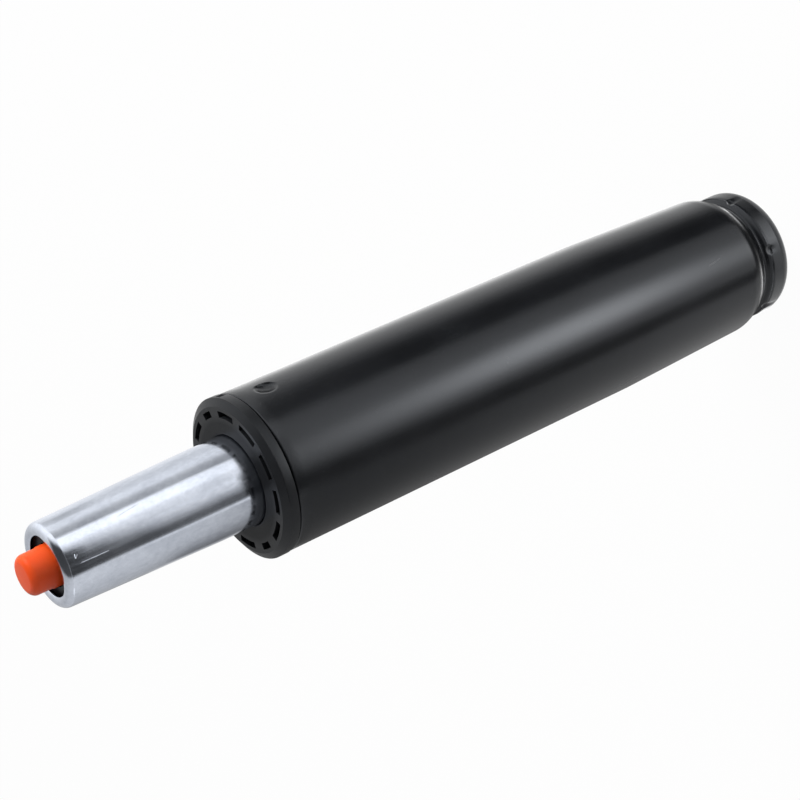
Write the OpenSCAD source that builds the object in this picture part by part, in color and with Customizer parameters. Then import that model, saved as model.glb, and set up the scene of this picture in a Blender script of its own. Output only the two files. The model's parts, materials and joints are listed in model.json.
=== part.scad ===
// Gas lift column of a swivel chair, drawn at its lowest height.
// Z runs up the axis of the column, and z = 0 is the rolled end that it stands on.

/* [Outer tube] */
// Outside diameter of the straight part
tube_d = 50; // [48:0.5:54]
// Wall of the tube
tube_wall = 2; // [1.6:0.1:2.4]
// Height of the upper end
tube_h = 207.5; // [200:0.5:230]
// Bevel on the upper edge
tube_bevel = 0.6; // [0.3:0.1:1]
// Length of the taper that sits in the chair base
base_taper_h = 51; // [46:0.2:60]
// Half angle of the base taper and of the seat taper, in degrees
taper_angle = 1.44; // [1.3:0.01:1.6]
// Height of the small end of the base taper
shoulder_z = 21; // [19:0.2:25]
// How far the widest line of the bead lies inside the outside of the tube
bead_inset = 3.3; // [2.6:0.1:3.8]
// Radius of the bead's lower edge
bead_round = 4.6; // [4:0.05:5]
// Height of the straight band round the middle of the bead
bead_flat = 3.8; // [2.6:0.1:4.4]
// Radius of the bead's upper edge
bead_top_round = 2.7; // [2.5:0.1:3.2]
// Depth of the groove above the bead, from the widest line of the bead
groove_depth = 1.8; // [1.5:0.05:2.2]
// Radius at the bottom of the groove
groove_round = 1.4; // [1:0.1:2]
// Width of the flat ring that the rolled lower end stands on
lip_w = 1.6; // [1:0.1:2.4]

/* [Marks pressed into the tube] */
// Number of stake marks round the bead
stake_count = 6; // [3:1:8]
// Direction of the first stake mark, in degrees from +X
stake_turn = 21; // [-90:1:90]
// Where a stake mark sits on the bead's upper edge, in degrees above the straight band
stake_rise = 14; // [5:1:40]
// Diameter of the round tool that makes a stake mark
stake_d = 4.4; // [3:0.2:5]
// Depth of a stake mark
stake_depth = 0.9; // [0.4:0.1:1.2]
// Direction of the latch that holds the guide bush, in degrees from +X
latch_turn = -32; // [-90:1:90]
// Distance from the upper end of the tube down to the deep end of the latch
latch_drop = 10; // [9:0.2:12]
// Length of the latch, from its deep end to its shallow end
latch_l = 3; // [2:0.2:4]
// Diameter of the round tool that presses the latch
latch_d = 7; // [6:0.5:9]
// Depth of the latch at its deep end
latch_depth = 1.5; // [1:0.1:1.8]
// Depth of the latch at its shallow end
latch_shallow = 0.7; // [0.3:0.1:1]

/* [Guide bush] */
// Length of the bush inside the tube
bush_l = 84; // [70:1:90]
// Thickness of the sleeve that the pressure tube slides in
bush_inner_t = 2.4; // [1.8:0.1:3]
// Thickness of the sleeve that touches the outer tube
bush_outer_t = 1.6; // [1.2:0.1:2]
// Number of ribs between the two sleeves
rib_count = 8; // [4:1:12]
// Thickness of a rib
rib_t = 1.8; // [1.2:0.1:2.5]
// Height of the solid head of the bush, below the collar
head_h = 18; // [17:0.5:24]
// Height of the collar above the tube
collar_h = 5; // [4:0.1:6]
// How far the collar stands out past the tube
collar_over = 0.2; // [0.1:0.05:0.6]
// Width of the sloped rim on the collar's upper edge
rim_w = 2.3; // [1.6:0.1:2.8]
// Height of the sloped rim on the collar's upper edge
rim_h = 1.5; // [0.8:0.1:2]
// Bevel on the collar's lower edge
collar_bevel = 0.4; // [0.2:0.1:0.8]
// Flare at the mouth of the bore
mouth_flare = 0.9; // [0.5:0.1:1.5]
// Number of slots in the collar's face
slot_count = 12; // [8:2:14]
// Distance from the outside of the tube in to the middle of the slots
slot_inset = 4.3; // [4:0.1:5.5]
// Width of a slot
slot_w = 2; // [1.4:0.1:2.4]
// Depth of a slot
slot_depth = 9; // [4:0.5:12]
// Angle that a long slot covers, in degrees
slot_span = 21; // [12:1:24]
// Angle that the two short slots cover, in degrees
short_slot_span = 13; // [8:1:18]
// Direction of the notch in the collar's side, in degrees from +X
notch_turn = -16; // [-90:1:90]
// Width of the notch
notch_w = 2.4; // [1.5:0.1:4]
// Height of the notch
notch_h = 2.8; // [2:0.1:3.4]
// Depth of the notch
notch_depth = 1.1; // [0.6:0.1:1.6]

/* [Bottom plate and clip] */
// Thickness of the middle of the plate
plate_t = 3.6; // [3.2:0.1:4]
// How far the middle of the plate is raised above its edge
plate_rise = 3; // [2.8:0.1:3.3]
// How far the end of the rod lies above the standing face
rod_recess = 1; // [0.5:0.1:1.2]
// Thickness of the washer under the plate
clip_washer_t = 1; // [0.8:0.1:1.2]
// Width of the ring of the washer under the plate
clip_washer_w = 4; // [3:0.1:4.5]
// Thickness of the retaining clip
clip_t = 1; // [0.8:0.1:1.2]
// Width of the retaining clip's bow
clip_w = 1.6; // [1.2:0.1:2]
// Opening of the retaining clip, in degrees
clip_open = 80; // [60:5:100]

/* [Thrust bearing and bump stop] */
// Diameter of a bearing ball
ball_d = 4; // [3:0.5:5]
// Number of bearing balls
ball_count = 9; // [6:1:9]
// Thickness of the cage
cage_t = 2; // [1.5:0.1:2.5]
// Width of the cage on each side of its balls
cage_rim = 1.5; // [1:0.1:2]
// Thickness of each bearing washer
race_t = 1.5; // [1:0.1:2]
// Diameter of the rubber bump stop
buffer_d = 23; // [21:0.5:24]
// Height of the rubber bump stop
buffer_h = 15; // [10:1:24]
// Depth of the ring that is let into the side of the bump stop
buffer_waist = 1.2; // [0.5:0.1:2]

/* [Rod and piston] */
// Diameter of the piston rod
rod_d = 10; // [9:0.5:12]
// Height by which the seat can rise
stroke = 100; // [70:1:115]
// Step in radius at the lower end of the rod
rod_step = 1; // [0.8:0.1:1.4]
// Depth of the clip's groove in the rod
clip_groove = 0.8; // [0.5:0.1:1.1]
// Step in radius at the upper end of the rod, where the piston sits
neck_step = 1.5; // [1:0.1:2]
// Height of the riveted end of the rod
rivet_h = 2.4; // [1.5:0.1:4]
// Thickness of the washer under the piston
piston_washer_t = 1.5; // [1:0.1:2.5]
// Height of the piston
piston_h = 14; // [12:0.5:20]
// Height of the piston's rubber ring
piston_seal_h = 3; // [2:0.1:4]
// Height of the piston's slide ring
guide_ring_h = 4; // [3:0.1:5]
// Thickness of the piston's two rings
piston_ring_t = 2; // [1.5:0.1:2.6]

/* [Pressure tube] */
// Outside diameter of the pressure tube
lift_d = 28; // [27:0.5:30]
// Wall of the pressure tube
lift_wall = 1.75; // [1.5:0.05:2]
// Length that shows above the collar at the lowest height
lift_out = 63.3; // [62:0.1:80]
// Length of the taper that sits in the seat mechanism
seat_taper_h = 51; // [46:0.2:56]
// Radius of the rolled upper end
tip_round = 2.2; // [2.1:0.1:2.8]
// How far the rolled upper end turns down past its top, in degrees
tip_roll = 45; // [30:1:60]
// Radius of the rolled lower end
foot_round = 2.5; // [2.2:0.1:3]
// Width of the flat inside the rolled lower end
foot_lip = 2; // [1:0.1:2.5]

/* [Inside the pressure tube] */
// Height of the rod guide
rod_guide_h = 10; // [8:0.5:14]
// Height of the rod seal
rod_seal_h = 6; // [4:0.5:8]
// Depth of the lip in the rod seal
seal_lip = 2.5; // [1:0.1:3]
// Thickness of the washer above the rod seal
seal_washer_t = 1.5; // [1:0.1:2]
// Outside diameter of the inner cylinder
cyl_d = 22; // [21.4:0.1:22.6]
// Wall of the inner cylinder
cyl_wall = 1; // [0.8:0.05:1.2]
// Thickness of the flange under the inner cylinder
foot_flange_t = 2.2; // [2:0.1:3]
// Height of the spigot inside the lower end of the inner cylinder
foot_spigot_h = 4; // [3:0.1:6]
// Thickness of the spigot
foot_spigot_t = 2; // [1.5:0.1:2.5]
// Number of gas notches in the spigot
gas_notch_count = 4; // [3:1:6]
// Width of a gas notch
gas_notch_w = 3; // [2:0.1:4]
// Depth of a gas notch in the flange
gas_notch_depth = 1.2; // [0.6:0.1:1.5]

/* [Valve and button] */
// Diameter of the button
button_d = 12.1; // [10:0.1:13]
// How far the button stands out of the tip
button_out = 7.1; // [6:0.1:10]
// How far the button reaches down into the tip
button_in = 14; // [12:0.5:16]
// Radius of the button's upper edge
button_round = 2.2; // [1:0.1:2.6]
// How much wider the button's lower end is, in radius
button_flare = 0.25; // [0:0.05:0.6]
// Travel of the button
button_press = 4; // [2:0.5:5]
// Diameter of the valve pin
pin_d = 4; // [3:0.1:5]
// How far the pin reaches up inside the button, measured from its upper face
pin_cover = 4; // [3:0.1:6]
// Diameter of the head of the valve pin
pin_head_d = 8.4; // [8:0.1:10]
// Thickness of the head of the valve pin
pin_head_t = 2; // [1:0.1:3]
// Thickness of the rubber face on the head of the valve pin
valve_face_t = 1.2; // [0.8:0.1:2]
// Height of the valve housing
housing_h = 30; // [28:0.5:34]
// Height of a rubber ring of the valve
ring_h = 2.6; // [2:0.1:3]
// Thickness of a rubber ring of the valve, measured outwards
ring_t = 2; // [1.5:0.1:2.4]
// Height of the flange of the valve seat
seat_flange_t = 2.5; // [2:0.1:4]
// Height of the part of the valve seat that holds the gas ports
port_h = 5; // [4:0.1:7]
// Number of gas ports
port_count = 4; // [2:1:6]
// Diameter of a gas port
port_d = 2; // [1.5:0.1:3]
// Height of the spigot inside the upper end of the inner cylinder
seat_spigot_h = 7; // [6:0.1:9]
// Gap round the pin for the gas
gas_gap = 0.8; // [0.5:0.1:1]

/* [Clearances] */
// Gap between pieces that fit or slide in each other
fit_gap = 0.05; // [0.03:0.01:0.08]
// Gap between pieces that move past each other
run_gap = 0.3; // [0.2:0.05:0.5]
// Gap round a bearing ball
ball_gap = 0.1; // [0.05:0.01:0.15]

/* [Hidden] */
$fn = 96;
arc_steps = 12;
cut = 1;
edge = 0.5;

tube_r = tube_d / 2;
tube_ir = tube_r - tube_wall;
slope = tan(taper_angle);

// Lower end of the outer tube: bead, groove and shoulder are arcs that run into each other
shoulder_r = tube_r - base_taper_h * slope;
bead_r = tube_r - bead_inset;
bead_c = [bead_r - bead_round, bead_round];
bead_top_c = [bead_r - bead_top_round, bead_round + bead_flat];
groove_r = bead_r - groove_depth + groove_round;
groove_up = sqrt(pow(bead_top_round + groove_round, 2) - pow(groove_r - bead_top_c[0], 2));
groove_c = [groove_r, bead_top_c[1] + groove_up];
shoulder_in = shoulder_r - groove_c[0];
shoulder_up = shoulder_z - groove_c[1];
shoulder_round = (pow(shoulder_in, 2) + pow(shoulder_up, 2) - pow(groove_round, 2))
    / (2 * (shoulder_in + groove_round));
shoulder_c = [shoulder_r - shoulder_round, shoulder_z];
bead_end = direction(groove_c - bead_top_c);
groove_end = direction(groove_c - shoulder_c);

// Bottom plate and what hangs under it
rod_r = rod_d / 2;
rod_end_r = rod_r - rod_step;
plate_round = bead_round - tube_wall - fit_gap;
plate_top_round = bead_top_round - tube_wall - fit_gap;
plate_z = bead_round - plate_round;
plate_rim_top = bead_top_c[1] + plate_top_round;
plate_under = plate_z + plate_rise;
plate_top = plate_under + plate_t;
plate_hole_r = rod_end_r + run_gap;
clip_washer_z = plate_under - run_gap - clip_washer_t;
clip_z = clip_washer_z - clip_t;
clip_groove_r = rod_end_r - clip_groove;

// Thrust bearing
ball_r = ball_d / 2;
cage_ir = rod_end_r + run_gap;
ball_circle_r = cage_ir + cage_rim + ball_r + ball_gap;
cage_or = ball_circle_r + ball_r + ball_gap + cage_rim;
race_or = cage_or + edge;
boss_r = race_or + edge;
lower_race_z = plate_top;
ball_z = lower_race_z + race_t + ball_gap + ball_r;
upper_race_z = ball_z + ball_r + ball_gap;
rod_shoulder_z = upper_race_z + race_t;
buffer_top = rod_shoulder_z + buffer_h;

// Pressure tube and the stack in its lower end
lift_r = lift_d / 2;
lift_ir = lift_r - lift_wall;
lift_z = buffer_top + run_gap;
collar_top = tube_h + collar_h;
tip_z = collar_top + lift_out;
seat_taper_z = tip_z - seat_taper_h;
tip_round_z = tip_z - tip_round;
tip_round_r = taper_r(tip_round_z + tip_round * sin(taper_angle)) - tip_round * cos(taper_angle);
rod_guide_z = lift_z + lift_wall;
rod_seal_z = rod_guide_z + rod_guide_h;
seal_washer_z = rod_seal_z + rod_seal_h;
foot_z = seal_washer_z + seal_washer_t;
cyl_z = foot_z + foot_flange_t;
foot_top = cyl_z + foot_spigot_h;
cyl_r = cyl_d / 2;
cyl_ir = cyl_r - cyl_wall;

// Piston: it meets the foot of the inner cylinder at the full stroke
piston_washer_z = foot_top + stroke + run_gap;
piston_z = piston_washer_z + piston_washer_t;
piston_top = piston_z + piston_h;
rod_neck_r = rod_r - neck_step;
piston_r = cyl_ir - run_gap;
piston_ring_r = cyl_ir - fit_gap;
piston_land = (piston_h - piston_seal_h - guide_ring_h) / 3;
guide_ring_z = piston_z + piston_land;
piston_seal_z = guide_ring_z + guide_ring_h + piston_land;

// Valve in the upper end of the pressure tube
button_r = button_d / 2;
button_foot_r = button_r + button_flare;
button_top = tip_z + button_out;
button_z = tip_z - button_in;
button_bore_r = button_foot_r + run_gap;
housing_top = tip_round_z + (tip_round - lift_wall) * cos(tip_roll) - fit_gap;
housing_z = housing_top - housing_h;
housing_bevel = tip_round - lift_wall + edge;
button_floor = button_z - button_press - run_gap;
pin_r = pin_d / 2;
pin_top = button_top - pin_cover;
pin_bore_r = pin_r + fit_gap;
housing_ring_z = housing_z + ring_h;
seat_flange_z = housing_z - seat_flange_t;
cyl_top = seat_flange_z - port_h;
seat_z = cyl_top - seat_spigot_h;
seat_ring_z = seat_z + (seat_spigot_h - ring_h) / 2;
valve_face_z = seat_z - fit_gap - valve_face_t;
pin_z = valve_face_z - pin_head_t;
pin_head_r = pin_head_d / 2;

// Guide bush
bush_r = tube_ir - fit_gap;
bush_bore_r = lift_r + fit_gap;
bush_z = tube_h - bush_l;
head_z = tube_h - head_h;
collar_r = tube_r + collar_over;
slot_r = tube_r - slot_inset;

// Marks
latch_r = latch_d / 2;
stake_r = stake_d / 2;

function direction(v) = atan2(v[1], v[0]);
function polar(r, a) = [r * cos(a), r * sin(a)];
function arc_point(c, r, from, to, i) = c + polar(r, from + (to - from) * i / arc_steps);
function arc(c, r, from, to) = [for (i = [0:arc_steps]) arc_point(c, r, from, to, i)];
// An arc that runs on from a line that ends in its first point
function arc_on(c, r, from, to) = [for (i = [1:arc_steps]) arc_point(c, r, from, to, i)];
function along(p, i) = (p[i + 1] - p[i]) / norm(p[i + 1] - p[i]);
function left(v) = [-v[1], v[0]];
function side(p, i) = left(along(p, i));
function corner(p, i) = let (a = side(p, i - 1), b = side(p, i)) (a + b) / (1 + a * b);
function inward(p, i) = i == 0 ? side(p, 0) : i == len(p) - 1 ? side(p, i - 1) : corner(p, i);
// Closed outline of a wall of thickness t inside the line p, with the points of end between its two sides
function wall(p, t, end = []) = concat(p, end, [for (i = [len(p) - 1:-1:0]) p[i] + t * inward(p, i)]);
// Radius of the outside and of the inside of the pressure tube at a height in its taper
function taper_r(z) = lift_r - max(0, z - seat_taper_z) * slope;
function taper_ir(z) = taper_r(z) - lift_wall - fit_gap;

module turned(outline) {
    rotate_extrude() polygon(outline);
}

module ring(inner, outer, z, h) {
    turned([[inner, z], [outer, z], [outer, z + h], [inner, z + h]]);
}

module around(count, first = 0) {
    for (i = [0:count - 1])
        rotate([0, 0, first + i * 360 / count]) children();
}

// The round tools that press the latch: a deep one, and a shallow one nearer to the collar
module latch_tools(extra) {
    rotate([0, 0, latch_turn])
        for (end = [[0, latch_depth], [latch_l, latch_shallow]])
            translate([tube_r + latch_r - end[1], 0, tube_h - latch_drop + end[0]])
                sphere(latch_r + extra);
}

// The round tools that press the stake marks, with their poles along the bead
module stake_tools() {
    place = bead_top_c + polar(bead_top_round + stake_r - stake_depth, stake_rise);
    around(stake_count, stake_turn)
        translate([place[0], 0, place[1]]) rotate([90, 0, 0]) sphere(stake_r);
}

module outer_tube() {
    outside = concat(
        [[bead_c[0] - lip_w, 0]],
        arc(bead_c, bead_round, -90, 0),
        arc(bead_top_c, bead_top_round, 0, bead_end),
        arc_on(groove_c, groove_round, direction(bead_top_c - groove_c) + 360, direction(shoulder_c - groove_c)),
        arc_on(shoulder_c, shoulder_round, groove_end, 0),
        [[tube_r, shoulder_z + base_taper_h], [tube_r, tube_h - tube_bevel]]
    );
    upper_end = [[tube_r - tube_bevel, tube_h], [tube_ir, tube_h]];
    color("#1d1e20")
        difference() {
            union() {
                turned(wall(outside, tube_wall, upper_end));
                intersection() {
                    latch_tools(tube_wall);
                    ring(tube_ir - tube_wall, tube_r - edge, head_z, head_h);
                }
            }
            latch_tools(0);
            stake_tools();
        }
}

module bottom_plate() {
    recess_r = boss_r - plate_t / 2;
    color("#8d9196")
        turned(concat(
            [[plate_hole_r, plate_under], [recess_r, plate_under], [recess_r, plate_z]],
            arc(bead_c, plate_round, -90, 0),
            arc(bead_top_c, plate_top_round, 0, 90),
            [[boss_r, plate_rim_top], [boss_r, plate_top], [plate_hole_r, plate_top]]
        ));
}

module collar_slots() {
    for (i = [0:slot_count - 1]) {
        span = i % (slot_count / 2) == 0 ? short_slot_span : slot_span;
        rotate([0, 0, i * 360 / slot_count - span / 2])
            rotate_extrude(angle = span)
                translate([slot_r - slot_w / 2, collar_top - slot_depth]) square([slot_w, slot_depth + cut]);
    }
}

module guide_bush() {
    inner_wall_r = bush_bore_r + bush_inner_t;
    outer_wall_r = bush_r - bush_outer_t;
    color("#242527")
        difference() {
            union() {
                turned([
                    [bush_bore_r, bush_z], [inner_wall_r, bush_z], [inner_wall_r, head_z],
                    [outer_wall_r, head_z], [outer_wall_r, bush_z], [bush_r, bush_z],
                    [bush_r, tube_h], [collar_r - collar_bevel, tube_h], [collar_r, tube_h + collar_bevel],
                    [collar_r, collar_top - rim_h], [collar_r - rim_w, collar_top],
                    [bush_bore_r + mouth_flare, collar_top], [bush_bore_r, collar_top - mouth_flare]
                ]);
                around(rib_count)
                    translate([inner_wall_r - edge, -rib_t / 2, bush_z])
                        cube([outer_wall_r - inner_wall_r + 2 * edge, rib_t, head_z - bush_z + edge]);
            }
            collar_slots();
            latch_tools(tube_wall + run_gap);
            rotate([0, 0, notch_turn])
                translate([collar_r - notch_depth, -notch_w / 2, tube_h])
                    cube([notch_depth + cut, notch_w, notch_h]);
        }
}

module lower_thrust_washer() {
    color("#a3a7ab") ring(plate_hole_r, race_or, lower_race_z, race_t);
}

module upper_thrust_washer() {
    color("#a3a7ab") ring(rod_end_r + fit_gap, race_or, upper_race_z, race_t);
}

module ball_cage() {
    color("#b08d4a")
        difference() {
            ring(cage_ir, cage_or, ball_z - cage_t / 2, cage_t);
            around(ball_count)
                translate([ball_circle_r, 0, ball_z - cage_t]) cylinder(r = ball_r + ball_gap, h = 2 * cage_t);
        }
}

module bearing_balls() {
    color("#d5d8da")
        around(ball_count)
            translate([ball_circle_r, 0, ball_z]) sphere(ball_r);
}

module piston_rod() {
    color("#c3c7ca")
        turned([
            [0, rod_recess], [rod_end_r - edge, rod_recess], [rod_end_r, rod_recess + edge],
            [rod_end_r, clip_z - fit_gap], [clip_groove_r, clip_z - fit_gap],
            [clip_groove_r, clip_washer_z + fit_gap], [rod_end_r, clip_washer_z + fit_gap],
            [rod_end_r, rod_shoulder_z], [rod_r, rod_shoulder_z],
            [rod_r, piston_washer_z], [rod_neck_r, piston_washer_z],
            [rod_neck_r, piston_top], [rod_r, piston_top],
            [rod_r, piston_top + rivet_h - edge], [rod_r - edge, piston_top + rivet_h], [0, piston_top + rivet_h]
        ]);
}

module clip_washer() {
    color("#9a9ea2") ring(rod_end_r + fit_gap, rod_end_r + clip_washer_w, clip_washer_z, clip_washer_t);
}

module retaining_clip() {
    bow_ir = rod_end_r + edge;
    bow_turn = 360 - clip_open;
    teeth = 3;
    tooth_turn = 30;
    end_turn = 5;
    tooth_step = (bow_turn - tooth_turn - 2 * end_turn) / (teeth - 1);
    color("#6f7377") {
        rotate([0, 0, clip_open / 2])
            rotate_extrude(angle = bow_turn)
                translate([bow_ir, clip_z]) square([clip_w, clip_t]);
        for (i = [0:teeth - 1])
            rotate([0, 0, clip_open / 2 + end_turn + i * tooth_step])
                rotate_extrude(angle = tooth_turn)
                    translate([clip_groove_r + fit_gap, clip_z]) square([bow_ir + edge - clip_groove_r, clip_t]);
    }
}

module bump_stop() {
    buffer_r = buffer_d / 2;
    bore = rod_r + fit_gap;
    waist = buffer_h / 3;
    color("#2b2b2b")
        turned([
            [bore, rod_shoulder_z], [buffer_r - edge, rod_shoulder_z], [buffer_r, rod_shoulder_z + edge],
            [buffer_r, rod_shoulder_z + waist], [buffer_r - buffer_waist, rod_shoulder_z + buffer_h / 2],
            [buffer_r, buffer_top - waist], [buffer_r, buffer_top - edge],
            [buffer_r - edge, buffer_top], [bore, buffer_top]
        ]);
}

module piston_washer() {
    color("#9a9ea2") ring(rod_neck_r + fit_gap, piston_r - edge, piston_washer_z, piston_washer_t);
}

module piston() {
    groove_floor = piston_ring_r - piston_ring_t;
    bore = rod_neck_r + fit_gap;
    color("#b9bcc0")
        turned([
            [bore, piston_z], [piston_r, piston_z], [piston_r, guide_ring_z],
            [groove_floor, guide_ring_z], [groove_floor, guide_ring_z + guide_ring_h],
            [piston_r, guide_ring_z + guide_ring_h], [piston_r, piston_seal_z],
            [groove_floor, piston_seal_z], [groove_floor, piston_seal_z + piston_seal_h],
            [piston_r, piston_seal_z + piston_seal_h], [piston_r, piston_top - edge],
            [piston_r - edge, piston_top], [bore, piston_top]
        ]);
}

// A ring that fills a groove on the outside of a round piece
module groove_ring(outer, thickness, z, h) {
    ring(outer - thickness + fit_gap, outer, z + fit_gap, h - 2 * fit_gap);
}

module piston_seal() {
    color("#1f1f1f") groove_ring(piston_ring_r, piston_ring_t, piston_seal_z, piston_seal_h);
}

module piston_guide_ring() {
    color("#e6e2d6") groove_ring(piston_ring_r, piston_ring_t, guide_ring_z, guide_ring_h);
}

module pressure_tube() {
    foot_c = [lift_r - foot_round, lift_z + foot_round];
    outside = concat(
        [[lift_r - foot_round - foot_lip, lift_z]],
        arc(foot_c, foot_round, -90, 0),
        [[lift_r, seat_taper_z]],
        arc([tip_round_r, tip_round_z], tip_round, taper_angle, 90 + tip_roll)
    );
    color("#c9ccd2") turned(wall(outside, lift_wall));
}

module rod_guide() {
    bevel = foot_round - lift_wall + edge;
    outer = lift_ir - fit_gap;
    color("#d8d6cc")
        turned([
            [rod_r + fit_gap, rod_guide_z], [outer - bevel, rod_guide_z], [outer, rod_guide_z + bevel],
            [outer, rod_seal_z], [rod_r + fit_gap, rod_seal_z]
        ]);
}

module rod_seal() {
    outer = lift_ir - fit_gap;
    bore = rod_r + fit_gap;
    middle = (outer + bore) / 2;
    color("#1f1f1f")
        turned([
            [bore, rod_seal_z], [outer, rod_seal_z], [outer, seal_washer_z], [middle + edge, seal_washer_z],
            [middle, seal_washer_z - seal_lip], [middle - edge, seal_washer_z], [bore, seal_washer_z]
        ]);
}

module seal_washer() {
    color("#9a9ea2") ring(rod_r + run_gap, lift_ir - fit_gap, seal_washer_z, seal_washer_t);
}

module cylinder_foot() {
    spigot_r = cyl_ir - fit_gap;
    bore = spigot_r - foot_spigot_t;
    flange_r = lift_ir - fit_gap;
    color("#d8d6cc")
        difference() {
            turned([
                [bore, foot_z], [flange_r, foot_z], [flange_r, cyl_z],
                [spigot_r, cyl_z], [spigot_r, foot_top], [bore, foot_top]
            ]);
            around(gas_notch_count)
                translate([bore - cut, -gas_notch_w / 2, cyl_z - gas_notch_depth])
                    cube([flange_r - bore + 2 * cut, gas_notch_w, foot_spigot_h + gas_notch_depth + cut]);
        }
}

module inner_cylinder() {
    color("#b5b9bd") ring(cyl_ir, cyl_r, cyl_z, cyl_top - cyl_z);
}

module valve_seat() {
    spigot_r = cyl_ir - fit_gap;
    groove_floor = spigot_r - ring_t;
    bore = pin_r + gas_gap;
    flange_r = taper_ir(housing_z);
    port_z = seat_flange_z - port_h / 2;
    color("#c2a24e")
        difference() {
            turned([
                [bore, seat_z], [spigot_r, seat_z], [spigot_r, seat_ring_z],
                [groove_floor, seat_ring_z], [groove_floor, seat_ring_z + ring_h],
                [spigot_r, seat_ring_z + ring_h], [spigot_r, cyl_top], [cyl_r, cyl_top],
                [cyl_r, seat_flange_z], [flange_r, seat_flange_z], [flange_r, housing_z], [bore, housing_z]
            ]);
            around(port_count)
                translate([0, 0, port_z]) rotate([0, 90, 0]) cylinder(d = port_d, h = cyl_r + cut);
        }
}

module cylinder_seal() {
    color("#1f1f1f") groove_ring(cyl_ir - fit_gap, ring_t, seat_ring_z, ring_h);
}

module pin_seal() {
    color("#1f1f1f") ring(pin_bore_r, pin_r + ring_t, housing_z + fit_gap, ring_h - 2 * fit_gap);
}

module valve_housing() {
    groove_z = housing_ring_z;
    groove_top = groove_z + ring_h;
    groove_floor = taper_ir(groove_top) - ring_t;
    shoulder = housing_top - housing_bevel;
    pocket_r = pin_r + ring_t + fit_gap;
    color("#2a2b2d")
        turned([
            [pocket_r, housing_z], [taper_ir(housing_z), housing_z], [taper_ir(groove_z), groove_z],
            [groove_floor, groove_z], [groove_floor, groove_top], [taper_ir(groove_top), groove_top],
            [taper_ir(shoulder), shoulder], [taper_ir(shoulder) - housing_bevel, housing_top],
            [button_bore_r, housing_top], [button_bore_r, button_floor], [pin_bore_r, button_floor],
            [pin_bore_r, housing_z + ring_h], [pocket_r, housing_z + ring_h]
        ]);
}

module housing_seal() {
    color("#1f1f1f") groove_ring(taper_ir(housing_ring_z + ring_h), ring_t, housing_ring_z, ring_h);
}

module valve_pin() {
    color("#c3c7ca")
        turned([
            [0, pin_z], [pin_head_r - edge, pin_z], [pin_head_r, pin_z + edge], [pin_head_r, valve_face_z],
            [pin_r, valve_face_z], [pin_r, pin_top - edge], [pin_r - edge, pin_top], [0, pin_top]
        ]);
}

module valve_face() {
    color("#1f1f1f") ring(pin_r + fit_gap, pin_head_r, valve_face_z, valve_face_t);
}

module release_button() {
    bore = pin_r + fit_gap;
    bore_top = pin_top + fit_gap;
    color("#f0541e")
        turned(concat(
            [[bore, button_z], [button_foot_r, button_z], [button_foot_r, tip_z]],
            arc([button_r - button_round, button_top - button_round], button_round, 0, 90),
            [[0, button_top], [0, bore_top], [bore, bore_top]]
        ));
}

outer_tube();
bottom_plate();
guide_bush();
lower_thrust_washer();
ball_cage();
bearing_balls();
upper_thrust_washer();
piston_rod();
clip_washer();
retaining_clip();
bump_stop();
piston_washer();
piston();
piston_seal();
piston_guide_ring();
pressure_tube();
rod_guide();
rod_seal();
seal_washer();
cylinder_foot();
inner_cylinder();
valve_seat();
cylinder_seal();
pin_seal();
valve_housing();
housing_seal();
valve_pin();
valve_face();
release_button();
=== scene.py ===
import json
import math

import bmesh
import bpy
import numpy as np
from mathutils import Matrix, Vector


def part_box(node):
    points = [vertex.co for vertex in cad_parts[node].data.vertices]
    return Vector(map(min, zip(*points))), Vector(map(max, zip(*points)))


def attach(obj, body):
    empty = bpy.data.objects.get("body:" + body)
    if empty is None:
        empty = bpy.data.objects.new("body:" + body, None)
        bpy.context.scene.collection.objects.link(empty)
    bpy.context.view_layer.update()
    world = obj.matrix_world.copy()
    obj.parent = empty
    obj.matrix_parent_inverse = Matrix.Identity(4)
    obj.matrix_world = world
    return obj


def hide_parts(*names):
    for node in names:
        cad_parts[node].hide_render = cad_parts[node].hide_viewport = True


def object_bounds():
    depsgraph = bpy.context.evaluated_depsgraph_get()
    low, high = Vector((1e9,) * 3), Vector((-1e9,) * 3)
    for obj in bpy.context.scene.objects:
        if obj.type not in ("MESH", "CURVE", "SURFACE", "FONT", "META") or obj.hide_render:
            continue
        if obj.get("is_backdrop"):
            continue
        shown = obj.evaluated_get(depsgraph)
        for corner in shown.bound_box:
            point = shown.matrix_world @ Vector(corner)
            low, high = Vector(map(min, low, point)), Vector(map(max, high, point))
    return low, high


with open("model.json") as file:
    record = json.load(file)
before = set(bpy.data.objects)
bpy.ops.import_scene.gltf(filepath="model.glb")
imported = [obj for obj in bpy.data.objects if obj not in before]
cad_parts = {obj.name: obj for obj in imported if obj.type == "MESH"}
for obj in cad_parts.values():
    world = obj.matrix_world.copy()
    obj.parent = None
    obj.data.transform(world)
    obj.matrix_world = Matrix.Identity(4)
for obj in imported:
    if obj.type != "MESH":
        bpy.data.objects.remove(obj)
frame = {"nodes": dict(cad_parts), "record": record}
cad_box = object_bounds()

MM = 0.001

# Sizes that the frame gives, in metres
TUBE_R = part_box("outer_tube")[1].x
TUBE_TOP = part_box("outer_tube")[1].z
BUSH_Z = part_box("guide_bush")[0].z
COLLAR_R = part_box("guide_bush")[1].x
COLLAR_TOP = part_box("guide_bush")[1].z
LIFT_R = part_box("pressure_tube")[1].x
LIFT_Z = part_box("pressure_tube")[0].z
TIP_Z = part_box("pressure_tube")[1].z
BUTTON_FOOT_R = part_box("release_button")[1].x
BUTTON_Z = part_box("release_button")[0].z
BUTTON_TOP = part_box("release_button")[1].z
PIN_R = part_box("valve_pin")[1].x
PIN_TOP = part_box("valve_pin")[1].z

# Both tapers are 1:20 on the diameter
TAPER = 1 / 40
FIT_GAP = 0.05 * MM

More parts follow.
